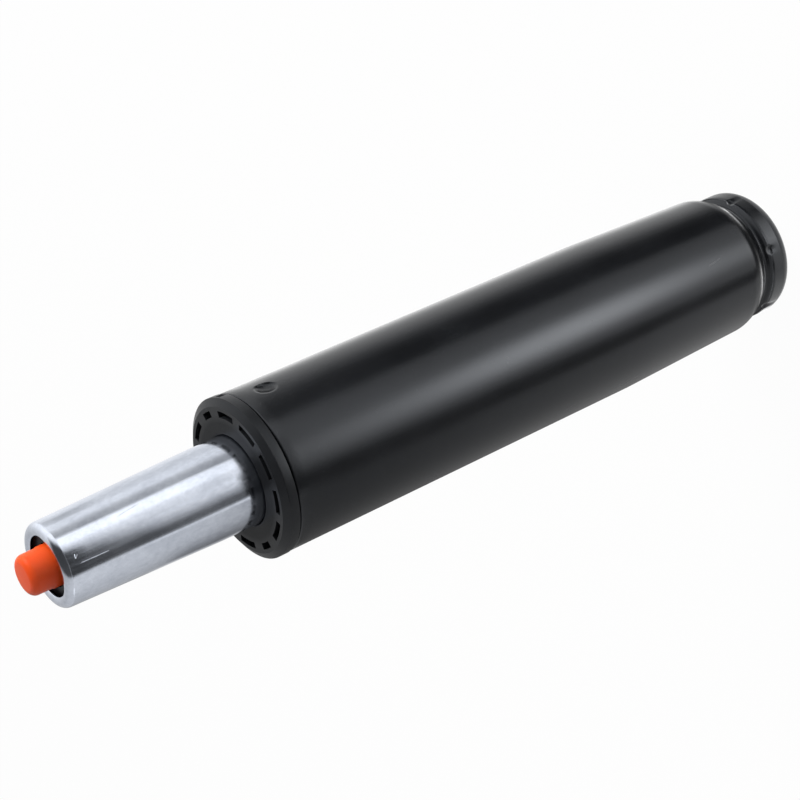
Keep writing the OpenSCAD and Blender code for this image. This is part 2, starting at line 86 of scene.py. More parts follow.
# Painted tube
WALL = 2.0 * MM
TUBE_EDGE = 0.6 * MM
BASE_Z = 21 * MM
BASE_TAPER_H = 51 * MM
BEAD_R = 21.7 * MM
BEAD_ROUND = 4.6 * MM
BEAD_FLAT = 3.8 * MM
BEAD_TOP_ROUND = 2.7 * MM
NECK_R = 19.9 * MM
GROOVE_ROUND = 1.4 * MM
LIP_R = 15.5 * MM
LIP_EDGE = 0.4 * MM
BEAD_TOP = (BEAD_R - BEAD_TOP_ROUND, BEAD_ROUND + BEAD_FLAT)
BASE_KNEE_Z = BASE_Z + BASE_TAPER_H

# Six stake marks on the bead, pressed by a round tool; turns are in degrees from +X
STAKES = 6
STAKE_TURN = 21
STAKE_RISE = 14
STAKE_R = 2.2 * MM
STAKE_DEPTH = 0.9 * MM
STAKE_SOFT = 0.35 * MM

# Latch: a leaf lanced along one edge and pressed into the bush
LATCH_TURN = -33
LATCH_Z = TUBE_TOP - 9 * MM
LATCH_HALF_W = 3.5 * MM
LATCH_HALF_H = 3.7 * MM
LATCH_DEPTH = 1.5 * MM
LATCH_GAP = 0.2 * MM
# The lanced edge lies this way, across and up; the leaf is steeper and deeper towards it
LATCH_EDGE_WAY = (0.8, -0.6)
LATCH_STEEPER = 0.6
LATCH_SHARE = 0.75
LATCH_DEEPER = 0.35

# Bush and its collar
BUSH_INNER_T = 2.4 * MM
BUSH_OUTER_T = 1.6 * MM
BUSH_RIBS = 8
BUSH_RIB_T = 1.8 * MM
HEAD_Z = TUBE_TOP - 18 * MM
COLLAR_GAP = 0.4 * MM
COLLAR_BEVEL = 0.25 * MM
RIM_W = 2.3 * MM
RIM_H = 1.5 * MM
MOUTH_FLARE = 0.9 * MM
SOFT_EDGE = 0.12 * MM
SLOTS = 12
SLOT_R = 20.7 * MM
SLOT_W = 2 * MM
SLOT_DEPTH = 9 * MM
SLOT_SPAN = 21
SHORT_SLOT_SPAN = 13
NOTCH_TURN = -16
NOTCH_W = 2.4 * MM
NOTCH_DEPTH = 1.1 * MM
NOTCH_TOP = TUBE_TOP + 2.8 * MM
NOTCH_EDGE = 0.25 * MM

# Bright tube
LIFT_WALL = 1.75 * MM
SEAT_KNEE_Z = TIP_Z - 51 * MM
TIP_ROUND = 2.2 * MM
TIP_ROLL = 45
TIP_EDGE = 0.25 * MM
FOOT_ROUND = 2.5 * MM
FOOT_LIP = 2 * MM

# Button
BUTTON_R = 6.05 * MM
BUTTON_ROUND = 2.2 * MM
BUTTON_CROWN = 0.15 * MM
CROWN_RINGS = 4
BUTTON_FOOT_EDGE = 0.3 * MM
# Rise of the cone under the button's head, over its inset
BUTTON_STEEP = 2

# Spacing of a mesh's points up its walls, and closer together round the latch
TAPER_PITCH = 6 * MM
TUBE_PITCH = 12 * MM
LIFT_PITCH = 20 * MM
LATCH_BAND = 5 * MM
LATCH_PITCH = 0.22 * MM
LATCH_BACK_PITCH = 0.5 * MM

# Spacing of its points round the axis, in degrees, and half the width of what is divided finely
TURN_STEP = 2
BUTTON_TURN_STEP = 3
TUBE_FINE_STEP = 0.5
BUSH_FINE_STEP = 1
STAKE_HALF_TURN = 8
LATCH_HALF_TURN = 11
# The sides of a notch and of a rib slope over so many degrees
NOTCH_SIDE = 0.4
RIB_SIDE = 0.2

# Points this close together are one, and a face this close under the collar's top belongs to it
WELD = 1e-7
FACE_SLACK = 0.01 * MM
SHARP_ANGLE = 40
BUSH_SHARP_ANGLE = 30


# Outlines: lists of (radius, height)

def arc(centre, radius, start, end, steps):
    """Points on an arc, in so many steps, its angles in degrees from the outward direction."""
    turn = np.radians(np.linspace(start, end, steps + 1))
    return [(centre[0] + radius * math.cos(a), centre[1] + radius * math.sin(a)) for a in turn]


def straight(start, end, pitch):
    """Points from start up to, but without, the end, about a pitch apart."""
    steps = max(1, round(math.dist(start, end) / pitch))
    return [tuple(np.add(start, np.subtract(end, start) * i / steps)) for i in range(steps)]


def direction(start, end):
    """Angle in degrees of the way from one point to another."""
    return math.degrees(math.atan2(end[1] - start[1], end[0] - start[0]))


def tube_radius(height):
    """Radius of the painted tube from its base taper up."""
    return TUBE_R - max(0, BASE_KNEE_Z - height) * TAPER


def lift_radius(height):
    """Radius of the bright tube up to its rolled tip."""
    return LIFT_R - max(0, height - SEAT_KNEE_Z) * TAPER


def tube_outline():
    """The painted tube's wall: up the outside from the lip, then down the inside."""
    base = (tube_radius(BASE_Z), BASE_Z)
    bead_low = (BEAD_R - BEAD_ROUND, BEAD_ROUND)
    groove_r = NECK_R + GROOVE_ROUND
    groove_rise = math.sqrt((BEAD_TOP_ROUND + GROOVE_ROUND) ** 2 - (groove_r - BEAD_TOP[0]) ** 2)
    groove = (groove_r, BEAD_TOP[1] + groove_rise)
    # The shoulder's arc touches the groove's and stands upright at the taper's foot
    inset, rise = groove[0] - base[0], base[1] - groove[1]
    shoulder_round = (inset ** 2 + rise ** 2 - GROOVE_ROUND ** 2) / (2 * (GROOVE_ROUND - inset))
    shoulder = (base[0] - shoulder_round, base[1])
    bead_end = direction(BEAD_TOP, groove)
    shoulder_start = direction(shoulder, groove)

    def skin(depth, latch_pitch):
        """One face of the wall, at a depth below the outer one, from bead to rim."""
        r = TUBE_R - depth
        latch_low, latch_high = (r, LATCH_Z - LATCH_BAND), (r, LATCH_Z + LATCH_BAND)
        return (
            arc(bead_low, BEAD_ROUND - depth, -90, 0, 20)
            + arc(BEAD_TOP, BEAD_TOP_ROUND - depth, 0, bead_end, 30)
            + arc(groove, GROOVE_ROUND + depth, bead_end + 180, shoulder_start + 180, 20)[1:]
            + arc(shoulder, shoulder_round - depth, shoulder_start, 0, 20)[1:-1]
            + straight((base[0] - depth, base[1]), (r, BASE_KNEE_Z), TAPER_PITCH)
            + straight((r, BASE_KNEE_Z), latch_low, TUBE_PITCH)
            + straight(latch_low, latch_high, latch_pitch)
        )

    rim = (TUBE_R - TUBE_EDGE, TUBE_TOP - TUBE_EDGE)
    lip_low = (LIP_R + LIP_EDGE, LIP_EDGE)
    lip_high = (LIP_R + LIP_EDGE, WALL - LIP_EDGE)
    return (
        arc(lip_high, LIP_EDGE, 90, 180, 4)
        + arc(lip_low, LIP_EDGE, 180, 270, 4)
        + skin(0, LATCH_PITCH)
        + arc(rim, TUBE_EDGE, 0, 90, 6)
        + [(TUBE_R - WALL, TUBE_TOP)]
        + skin(WALL, LATCH_BACK_PITCH)[::-1]
    )


def bush_outline():
    """The bush: two thin sleeves below, a solid head, and the collar on the tube's rim."""
    bore = LIFT_R + FIT_GAP
    outer = TUBE_R - WALL - FIT_GAP
    inner_wall, outer_wall = bore + BUSH_INNER_T, outer - BUSH_OUTER_T
    gap_r = COLLAR_R - NOTCH_DEPTH
    gap_top = TUBE_TOP + COLLAR_GAP
    collar_low = (COLLAR_R - COLLAR_BEVEL, gap_top + COLLAR_BEVEL)
    mouth = (bore + MOUTH_FLARE, COLLAR_TOP - MOUTH_FLARE)
    return (
        [(bore, BUSH_Z), (inner_wall, BUSH_Z), (inner_wall, HEAD_Z)]
        + [(outer_wall, HEAD_Z), (outer_wall, BUSH_Z), (outer, BUSH_Z)]
        + straight((outer, LATCH_Z - LATCH_BAND), (outer, LATCH_Z + LATCH_BAND), LATCH_BACK_PITCH)
        + [(outer, TUBE_TOP), (gap_r, TUBE_TOP), (gap_r, gap_top)]
        + arc(collar_low, COLLAR_BEVEL, -90, 0, 4)
        + [(COLLAR_R, NOTCH_TOP), (COLLAR_R, NOTCH_TOP + NOTCH_EDGE), (COLLAR_R, COLLAR_TOP - RIM_H)]
        + [(r, COLLAR_TOP) for r in (COLLAR_R - RIM_W, SLOT_R + SLOT_W / 2, SLOT_R - SLOT_W / 2)]
        + arc(mouth, MOUTH_FLARE, 90, 180, 8)
    )


def lift_outline():
    """The bright tube's wall: up the outside from its rolled foot to the rolled tip, then down."""
    lean = math.degrees(math.atan(TAPER))
    round_z = TIP_Z - TIP_ROUND
    touch_r = lift_radius(round_z + TIP_ROUND * math.sin(math.radians(lean)))
    tip = (touch_r - TIP_ROUND * math.cos(math.radians(lean)), round_z)
    # The lip's corner is rounded within the roll's end
    roll_end = 90 + TIP_ROLL - math.degrees(TIP_EDGE / TIP_ROUND)
    lip = arc(tip, TIP_ROUND - TIP_EDGE, roll_end, roll_end, 1)[0]
    foot = (LIFT_R - FOOT_ROUND, LIFT_Z + FOOT_ROUND)

    def skin(depth):
        """One face of the wall, from foot to tip; the inner one, at a depth, leans out on its way up."""
        r = LIFT_R - depth
        return (
            arc(foot, FOOT_ROUND - depth, -90, 0, 10)
            + straight((r, foot[1] + MM), (LIFT_R, SEAT_KNEE_Z), LIFT_PITCH)[:-1]
            + straight((r, SEAT_KNEE_Z), (touch_r - depth, round_z), TAPER_PITCH)
            + arc(tip, TIP_ROUND - depth, lean, roll_end, 24)
        )

    return (
        [(foot[0] - FOOT_LIP, LIFT_Z)]
        + skin(0)
        + arc(lip, TIP_EDGE, roll_end, roll_end + 90, 6)[1:]
        + skin(LIFT_WALL)[::-1]
        + [(foot[0] - FOOT_LIP, LIFT_Z + LIFT_WALL)]
    )


def button_outline():
    """The button: a stem in the valve housing and a crowned head with a soft edge."""
    edge = (BUTTON_R - BUTTON_ROUND, BUTTON_TOP - BUTTON_CROWN - BUTTON_ROUND)
    inward = [1 - i / CROWN_RINGS for i in range(1, CROWN_RINGS)]
    crown = [(edge[0] * u, BUTTON_TOP - BUTTON_CROWN * u ** 2) for u in inward]
    bore, bore_top = PIN_R + FIT_GAP, PIN_TOP + FIT_GAP
    cone_h = BUTTON_STEEP * (BUTTON_FOOT_R - BUTTON_R)
    return (
        [(bore, BUTTON_Z), (BUTTON_FOOT_R - BUTTON_FOOT_EDGE, BUTTON_Z)]
        + [(BUTTON_FOOT_R, BUTTON_Z + BUTTON_FOOT_EDGE), (BUTTON_FOOT_R, TIP_Z), (BUTTON_R, TIP_Z + cone_h)]
        + arc(edge, BUTTON_ROUND, 0, 90, 14)
        + crown
        + [(0, BUTTON_TOP), (0, bore_top), (bore, bore_top)]
    )


# Meshes

def off_turn(angle, middle):
    """How far an angle is from another, in degrees, the short way round."""
    return np.abs((angle - middle + 180) % 360 - 180)


def turns(step, fine_step=1, marks=()):
    """Angles of a full turn in degrees, closer together inside each mark (middle, half width)."""
    coarse = [a for a in np.arange(0, 360, step) if all(off_turn(a, m) >= half for m, half in marks)]
    fine = [np.linspace(m - half, m + half, round(2 * half / fine_step) + 1) for m, half in marks]
    return np.unique(np.round(np.concatenate([coarse, *fine]) % 360, 4))


def turned(outline, angles):
    """Points of an outline turned about the axis, one row per angle, and the quads between them."""
    flat = np.array(outline)
    around = np.radians(angles)[:, None]
    heights = np.broadcast_to(flat[:, 1], (len(angles), len(flat)))
    points = np.stack([flat[:, 0] * np.cos(around), flat[:, 0] * np.sin(around), heights], axis=2)
    rows, columns = points.shape[:2]
    quads = []
    for i in range(rows):
        here, ahead = i * columns, (i + 1) % rows * columns
        for j in range(columns):
            k = (j + 1) % columns
            quads.append((here + j, ahead + j, ahead + k, here + k))
    return points, quads


def radii(points):
    """Each point's distance from the axis."""
    return np.hypot(points[..., 0], points[..., 1])


def press_ball(points, centre, radius, soft):
    """Moves what lies inside a ball out to its skin, with a rounded brim."""
    away = points - centre
    reach = np.linalg.norm(away, axis=-1)
    keep = np.clip(0.5 + 0.5 * (reach - radius) / soft, 0, 1)
    pushed = radius * (1 - keep) + reach * keep + soft * keep * (1 - keep)
    return centre + away * (pushed / np.maximum(reach, WELD))[..., None]


def press_latch(points, gap=0.0):
    """Presses the latch's leaf into a sleeve's points: steep along its lanced edge, soft across from it."""
    turn = np.degrees(np.arctan2(points[..., 1], points[..., 0])) - LATCH_TURN
    across = np.radians((turn + 180) % 360 - 180) * TUBE_R / LATCH_HALF_W
    up = (points[..., 2] - LATCH_Z) / LATCH_HALF_H
    room = np.clip(1 - across ** 2 - up ** 2, 0, 1)
    lean = np.clip(LATCH_EDGE_WAY[0] * across + LATCH_EDGE_WAY[1] * up, -1, 1)
    share = room ** (1 - LATCH_STEEPER * lean) * (LATCH_SHARE + LATCH_DEEPER * lean)
    depth = share * (LATCH_DEPTH + gap)
    points[..., :2] *= (1 - depth / np.maximum(radii(points), MM))[..., None]


def clean_into(mesh, work):
    """Joins doubled points, turns the faces outwards and writes the work back into its mesh."""
    bmesh.ops.remove_doubles(work, verts=work.verts, dist=WELD)
    bmesh.ops.dissolve_degenerate(work, edges=work.edges, dist=WELD)
    bmesh.ops.recalc_face_normals(work, faces=work.faces)
    work.to_mesh(mesh)
    work.free()


def mesh_from(name, points, quads):
    """A clean mesh from rows of points and the quads between them."""
    mesh = bpy.data.meshes.new(name)
    mesh.from_pydata(points.reshape(-1, 3).tolist(), [], quads)
    work = bmesh.new()
    work.from_mesh(mesh)
    clean_into(mesh, work)
    return mesh


def tube_mesh():
    """The painted tube with its stake marks and its latch."""
    marks = [(STAKE_TURN + 360 / STAKES * i, STAKE_HALF_TURN) for i in range(STAKES)]
    angles = turns(TURN_STEP, TUBE_FINE_STEP, marks + [(LATCH_TURN, LATCH_HALF_TURN)])
    outline = np.array(tube_outline())
    points, quads = turned(outline, angles)
    rise = math.radians(STAKE_RISE)
    stand = BEAD_TOP_ROUND + STAKE_R - STAKE_DEPTH
    tool_r, tool_z = BEAD_TOP[0] + stand * math.cos(rise), BEAD_TOP[1] + stand * math.sin(rise)
    skin = np.hypot(outline[:, 0] - BEAD_TOP[0], outline[:, 1] - BEAD_TOP[1]) > BEAD_TOP_ROUND - WALL / 2
    for middle, _ in marks:
        turn = math.radians(middle)
        centre = np.array([tool_r * math.cos(turn), tool_r * math.sin(turn), tool_z])
        points[:, skin] = press_ball(points[:, skin], centre, STAKE_R, STAKE_SOFT)
    press_latch(points)
    return mesh_from("tube_shell", points, quads)


def in_slot(face, slot_turn, span):
    """Whether a face lies on the collar's top, inside a slot that spans so many degrees."""
    middle = face.calc_center_median()
    turn = math.degrees(math.atan2(middle.y, middle.x))
    near = off_turn(turn, slot_turn) < span / 2
    top = middle.z > COLLAR_TOP - FACE_SLACK
    return near and top and abs(math.hypot(middle.x, middle.y) - SLOT_R) < SLOT_W / 2


def sink_slots(mesh, spans):
    """Sinks the collar's slots into its face, each spanning so many degrees."""
    work = bmesh.new()
    work.from_mesh(mesh)
    for i, span in enumerate(spans):
        floor = [face for face in work.faces if in_slot(face, i * 360 / SLOTS, span)]
        moved = bmesh.ops.extrude_face_region(work, geom=floor)["geom"]
        bmesh.ops.delete(work, geom=floor, context="FACES")
        for vert in (v for v in moved if isinstance(v, bmesh.types.BMVert)):
            vert.co.z = COLLAR_TOP - SLOT_DEPTH
    clean_into(mesh, work)


def bush_mesh():
    """The bush with its ribs, the latch pressed into it, and the collar's notch and slots."""
    spans = [SHORT_SLOT_SPAN if i % (SLOTS // 2) == 0 else SLOT_SPAN for i in range(SLOTS)]
    ends = [i * 360 / SLOTS + side * span / 2 for i, span in enumerate(spans) for side in (-1, 1)]
    half_notch = math.degrees(NOTCH_W / 2 / COLLAR_R)
    notch = [NOTCH_TURN + side * (half_notch + out) for side in (-1, 1) for out in (0, NOTCH_SIDE)]
    half_rib = math.degrees(BUSH_RIB_T / 2 / SLOT_R)
    ribs = np.arange(BUSH_RIBS) * 360 / BUSH_RIBS
    sides = [rib + side * (half_rib + out) for rib in ribs for side in (-1, 1) for out in (0, RIB_SIDE)]
    angles = turns(TURN_STEP, BUSH_FINE_STEP, [(LATCH_TURN, LATCH_HALF_TURN)])
    angles = np.unique(np.round(np.concatenate([angles, np.mod(ends + notch + sides, 360)]), 4))
    points, quads = turned(bush_outline(), angles)
    # A rib between the sleeves: the ceiling of their gap comes down to their lower end
    in_rib = off_turn(angles[:, None], ribs).min(axis=1) < half_rib + RIB_SIDE / 2
    ceiling = np.abs(points[..., 2] - HEAD_Z) < WELD
    points[in_rib[:, None] & ceiling, 2] = BUSH_Z
    sleeve = (radii(points) > TUBE_R - WALL - MM) & (points[..., 2] < TUBE_TOP - MM)
    held = points[sleeve]
    press_latch(held, LATCH_GAP)
    points[sleeve] = held
    # The notch in the rim: the band's points step inwards
    in_notch = off_turn(angles, NOTCH_TURN) < half_notch + NOTCH_SIDE / 2
    band = (points[..., 2] < NOTCH_TOP + NOTCH_EDGE / 2) & (points[..., 2] >= TUBE_TOP - WELD)
    radius = radii(points)
    cut = in_notch[:, None] & band & (radius > COLLAR_R - NOTCH_DEPTH)
    points[cut, :2] *= ((COLLAR_R - NOTCH_DEPTH) / radius[cut])[:, None]
    mesh = mesh_from("slotted_bush", points, quads)
    sink_slots(mesh, spans)
    return mesh


# Finishes: node materials, with patterns in the object's own coordinates

UNIT = (0, 1)
WHITE = (1, 1, 1, 1)
# Most of a noise lies in this range, and most of a sum of two in the next
NOISE_SPAN = (0.3, 0.7)
TWO_NOISES_SPAN = (0.7, 1.3)


def put(tree, socket, value):
    """Gives a socket a plain number, colour or vector, or links it to the socket that feeds it."""
    if isinstance(value, bpy.types.NodeSocket):
        tree.links.new(value, socket)
    else:
        socket.default_value = value


def add(tree, kind, values=None, **settings):
    """A node with its settings, and with a value put into each socket named or numbered."""
    made = tree.nodes.new(kind)
    for key, setting in settings.items():
        setattr(made, key, setting)
    for key, value in (values or {}).items():
        put(tree, made.inputs[key], value)
    return made


def feed(tree, shader, **sockets):
    """Puts values into a shader's sockets, their names written with underscores."""
    for key, value in sockets.items():
        put(tree, shader.inputs[key.replace("_", " ")], value)


def math_node(tree, operation, *values):
    """The result of an operation on numbers."""
    return add(tree, "ShaderNodeMath", dict(enumerate(values)), operation=operation).outputs[0]


def vector_node(tree, operation, *values):
    """The results of an operation on vectors: a vector first, or a number called Value."""
    return add(tree, "ShaderNodeVectorMath", dict(enumerate(values)), operation=operation).outputs


def noise(tree, place, stretch, detail=2.0, roughness=0.5):
    """Noise in features per metre: one number, or one each along x, y and z."""
    scale = stretch if isinstance(stretch, tuple) else (stretch,) * 3
    scaled = vector_node(tree, "MULTIPLY", place, scale)[0]
    values = {"Vector": scaled, "Scale": 1.0, "Detail": detail, "Roughness": roughness}
    return add(tree, "ShaderNodeTexNoise", values).outputs["Fac"]


def remap(tree, value, source, target):
    """A value carried from one range to another, and kept inside it."""
    values = {0: value, 1: source[0], 2: source[1], 3: target[0], 4: target[1]}
    return add(tree, "ShaderNodeMapRange", values).outputs[0]


def between(tree, share, low, high):
    """A colour between two, by share; each is a colour or the socket that feeds it."""
    ends = [end if isinstance(end, bpy.types.NodeSocket) else (*end, 1) for end in (low, high)]
    return add(tree, "ShaderNodeMix", {0: share, 6: ends[0], 7: ends[1]}, data_type="RGBA").outputs[2]


def bump(tree, height, depth, normal=None):
    """A normal from a height of 0 to 1 that stands for a depth in metres."""
    values = {"Height": height, "Distance": depth, "Strength": 1.0}
    if normal is not None:
        values["Normal"] = normal
    return add(tree, "ShaderNodeBump", values).outputs[0]


def new_finish(name):
    """A plain material: (material, node tree, shader, object coordinates)."""
    made = bpy.data.materials.new(name)
    made.use_nodes = True
    tree = made.node_tree
    shader = tree.nodes["Principled BSDF"]
    place = add(tree, "ShaderNodeTexCoord").outputs["Object"]
    return made, tree, shader, place


# A scratch is full within this share of its width, and fades out from this share of its half length
SCRATCH_CORE = 0.4
SCRATCH_FADE = 0.7


def on_side(turn, height, radius_at):
    """A point of a turned surface: its angle in degrees and its height in millimetres."""
    radius = radius_at(height * MM)
    return Vector((radius * math.cos(math.radians(turn)), radius * math.sin(math.radians(turn)), height * MM))


def scratch(tree, place, start, end, width):
    """1 along a fine scratch between two points of a turned surface, 0 elsewhere."""
    middle = (start + end) / 2
    outward = Vector((middle.x, middle.y, 0)).normalized()
    across = (end - start).cross(outward).normalized()
    half = (end - start).length / 2
    offset = vector_node(tree, "SUBTRACT", place, middle)[0]
    aside = math_node(tree, "ABSOLUTE", vector_node(tree, "DOT_PRODUCT", offset, across)["Value"])
    away = vector_node(tree, "LENGTH", offset)["Value"]
    line = remap(tree, aside, (width * SCRATCH_CORE, width), (1, 0))
    return math_node(tree, "MULTIPLY", line, remap(tree, away, (half * SCRATCH_FADE, half), (1, 0)))


def scratches(tree, place, radius_at, marks):
    """1 along each mark, 0 elsewhere: marks are (start, end, width), an end being (turn, height)."""
    wear = 0.0
    for start, end, width in marks:
        ends = on_side(*start, radius_at), on_side(*end, radius_at)
        wear = math_node(tree, "MAXIMUM", wear, scratch(tree, place, *ends, width * MM))
    return wear


# Paint: darker and lighter tone, roughness from and to, and depths of its relief. A scuff is its two
# ends, as a turn in degrees and a height in millimetres, and its width in millimetres.
PAINT_TONES = (0.0057, 0.0063, 0.0075), (0.0086, 0.0094, 0.0112)
PAINT_WORN = (0.12, 0.12, 0.12)
PAINT_SPAN, PAINT_ROUGH = (0.45, 1.05), (0.20, 0.28)
PAINT_GRAIN_SHARE = 0.5
PEEL_DEPTH = 0.012 * MM
PAINT_GRAIN_DEPTH = 0.004 * MM
DUST_SPAN = (0.74, 0.8)
DUST_SHARE = 0.25
SCUFF_SPAN, SCUFF_SHARES = (0.35, 0.6), (0, 0.6)
PAINT_SCUFFS = [
    ((-89.9, 38.7), (-88.0, 32.7), 0.25),
    ((118, 96), (128, 90), 0.15),
]
COOL_TINT = (0.90, 0.94, 1, 1)


def paint_finish():
    """Satin paint: fine orange peel, uneven gloss, specks of dust and scuffs."""
    made, tree, shader, place = new_finish("black_paint")
    mottle = noise(tree, place, (60, 60, 40), detail=3)
    peel = noise(tree, place, 900)
    grain = noise(tree, place, 5200)
    dust = remap(tree, noise(tree, place, 1500, detail=1), DUST_SPAN, UNIT)
    scuffs = scratches(tree, place, tube_radius, PAINT_SCUFFS)
    wear = math_node(tree, "MULTIPLY", scuffs, remap(tree, peel, SCUFF_SPAN, SCUFF_SHARES))
    wear = math_node(tree, "MAXIMUM", wear, math_node(tree, "MULTIPLY", dust, DUST_SHARE))
    tone = between(tree, remap(tree, mottle, NOISE_SPAN, UNIT), *PAINT_TONES)
    tone = between(tree, wear, tone, PAINT_WORN)
    uneven = math_node(tree, "ADD", mottle, math_node(tree, "MULTIPLY", grain, PAINT_GRAIN_SHARE))
    rough = remap(tree, uneven, PAINT_SPAN, PAINT_ROUGH)
    relief = bump(tree, grain, PAINT_GRAIN_DEPTH, bump(tree, peel, PEEL_DEPTH))
    feed(tree, shader, Base_Color=tone, Roughness=rough, Normal=relief, Specular_Tint=COOL_TINT)
    return made


# Bright plating: the same, with the shares of clouds and speckle in its shade
ZINC_TONES = (0.62, 0.665, 0.76), (0.79, 0.84, 0.94)
ZINC_ROUGH = (0.10, 0.20)
CLOUD_SHARE, SPECKLE_SHARE = 0.6, 0.4
SHADE_SPAN = (0.36, 0.64)
WAVE_DEPTH = 0.035 * MM
DRAWN_DEPTH = 0.0025 * MM
RINGS_DEPTH = 0.0015 * MM
ZINC_GRAIN_DEPTH = 0.002 * MM
SCRATCH_DEPTH = 0.03 * MM
SCRATCH_ROUGH = 0.3
LIFT_SCRATCHES = [
    ((-102.6, 271.0), (-102.8, 261.3), 0.10),
    ((-89.2, 271.2), (-95.4, 271.4), 0.14),
    ((-91.2, 270.5), (-95.4, 271.4), 0.14),
    ((-70, 256), (-66, 248), 0.06),
    ((60, 262), (74, 252), 0.07),
    ((150, 246), (158, 234), 0.07),
]


def zinc_finish():
    """Bright plating over a drawn and turned tube, with fine scratches."""
    made, tree, shader, place = new_finish("bright_zinc")
    drawn = noise(tree, place, (1400, 1400, 22), detail=3)
    wave = noise(tree, place, (160, 160, 30))
    rings = noise(tree, place, (25, 25, 2600), detail=3)
    cloud = noise(tree, place, (90, 90, 60), detail=3)
    grain = noise(tree, place, 3800)
    speckle = noise(tree, place, (700, 700, 500), detail=3, roughness=0.6)
    wear = scratches(tree, place, lift_radius, LIFT_SCRATCHES)
    clouds = math_node(tree, "MULTIPLY", cloud, CLOUD_SHARE)
    shade = math_node(tree, "ADD", clouds, math_node(tree, "MULTIPLY", speckle, SPECKLE_SHARE))
    tone = between(tree, remap(tree, shade, SHADE_SPAN, UNIT), *ZINC_TONES)
    rough = remap(tree, math_node(tree, "ADD", drawn, cloud), TWO_NOISES_SPAN, ZINC_ROUGH)
    rough = math_node(tree, "ADD", rough, math_node(tree, "MULTIPLY", wear, SCRATCH_ROUGH))
    relief = bump(tree, wave, WAVE_DEPTH)
    relief = bump(tree, drawn, DRAWN_DEPTH, relief)
    relief = bump(tree, rings, RINGS_DEPTH, relief)
    relief = bump(tree, grain, ZINC_GRAIN_DEPTH, relief)
    relief = bump(tree, math_node(tree, "SUBTRACT", 1.0, wear), SCRATCH_DEPTH, relief)
    feed(tree, shader, Base_Color=tone, Metallic=1.0, Roughness=rough, Normal=relief)
    return made


# Moulded plastics; the nylon's gloss is that at the edge of the painted shade round the bore, where the
# collar meets the bright tube, and at the slots
ORANGE_TONES = (0.92, 0.085, 0.008), (0.98, 0.105, 0.011)
ORANGE_GRAIN_DEPTH = 0.006 * MM
ORANGE_GLOSS = 0.24
ORANGE_SINK = 0.12
ORANGE_SINK_DEPTH = 1.2 * MM
ORANGE_SINK_TONE = (1.0, 0.25, 0.1)
NYLON_TONES = (0.0094, 0.0102, 0.0117), (0.0133, 0.0142, 0.0161)
NYLON_GRAIN_DEPTH = 0.012 * MM
NYLON_GLOSS = (0.12, 0.32)
PAINTED_SHADE_R = LIFT_R + 4 * MM
PLASTIC_ROUGH = (0.34, 0.46)


def moulded_finish(name, dark, light, rough, grain_depth):
    """Moulded plastic or rubber: cloudy colour, fine grain and uneven gloss."""
    made, tree, shader, place = new_finish(name)
    mottle = noise(tree, place, 120, detail=3)
    grain = noise(tree, place, 2600, detail=3, roughness=0.6)
    tone = between(tree, remap(tree, mottle, NOISE_SPAN, UNIT), dark, light)
    gloss = remap(tree, math_node(tree, "ADD", mottle, grain), TWO_NOISES_SPAN, rough)
    feed(tree, shader, Base_Color=tone, Roughness=gloss, Normal=bump(tree, grain, grain_depth))
    return made, tree, shader, place


def orange_finish():
    """Moulded plastic that light sinks into a little."""
    made, tree, shader, _ = moulded_finish("orange_plastic", *ORANGE_TONES, PLASTIC_ROUGH, ORANGE_GRAIN_DEPTH)
    feed(tree, shader, Subsurface_Weight=ORANGE_SINK, Subsurface_Scale=ORANGE_SINK_DEPTH)
    feed(tree, shader, Subsurface_Radius=ORANGE_SINK_TONE, Specular_IOR_Level=ORANGE_GLOSS)
    return made


def nylon_finish():
    """Moulded nylon, its gloss lowered round the bore: painted shade where the collar meets the bright tube.
    """
    made, tree, shader, place = moulded_finish("black_nylon", *NYLON_TONES, PLASTIC_ROUGH, NYLON_GRAIN_DEPTH)
    flat = vector_node(tree, "MULTIPLY", place, (1, 1, 0))[0]
    radius = vector_node(tree, "LENGTH", flat)["Value"]
    # Painted shade: less gloss from the bore out to this radius, so the face round the tube reflects less and
    # looks darker
    gloss = remap(tree, radius, (PAINTED_SHADE_R, SLOT_R), NYLON_GLOSS)
    feed(tree, shader, Specular_IOR_Level=gloss, Specular_Tint=COOL_TINT)
    return made


# Bare metals: depth of their machining marks, and how many there are per metre along x, y and z
METAL_MARK_DEPTH = 0.004 * MM
TURNED_MARKS = (60, 60, 3000)
ROLLED_MARKS = (900, 900, 900)


def metal_finish(name, dark, light, rough, marks):
    """Bare metal with machining marks, so many per metre along x, y and z."""
    made, tree, shader, place = new_finish(name)
    lines = noise(tree, place, marks, detail=3)
    stain = noise(tree, place, 140, detail=3)
    tone = between(tree, remap(tree, stain, NOISE_SPAN, UNIT), dark, light)
    gloss = remap(tree, math_node(tree, "ADD", lines, stain), TWO_NOISES_SPAN, rough)
    relief = bump(tree, lines, METAL_MARK_DEPTH)
    feed(tree, shader, Base_Color=tone, Metallic=1.0, Roughness=gloss, Normal=relief)
    return made


# Darker tone, lighter tone, roughness from and to, and the grain's depth or the machining marks
MOULDED = {
    "black_rubber": ((0.012, 0.012, 0.012), (0.02, 0.02, 0.02), (0.6, 0.8), 0.02 * MM),
    "white_plastic": ((0.64, 0.63, 0.58), (0.72, 0.71, 0.66), (0.4, 0.55), 0.008 * MM),
}
METALS = {
    "plain_steel": ((0.40, 0.41, 0.42), (0.55, 0.56, 0.57), (0.28, 0.48), ROLLED_MARKS),
    "ground_steel": ((0.60, 0.61, 0.63), (0.70, 0.71, 0.73), (0.14, 0.26), TURNED_MARKS),
    "spring_steel": ((0.13, 0.13, 0.14), (0.2, 0.2, 0.21), (0.3, 0.45), ROLLED_MARKS),
    "brass": ((0.55, 0.38, 0.14), (0.66, 0.48, 0.2), (0.22, 0.38), TURNED_MARKS),
    "aluminium": ((0.62, 0.63, 0.64), (0.72, 0.73, 0.74), (0.25, 0.4), TURNED_MARKS),
}
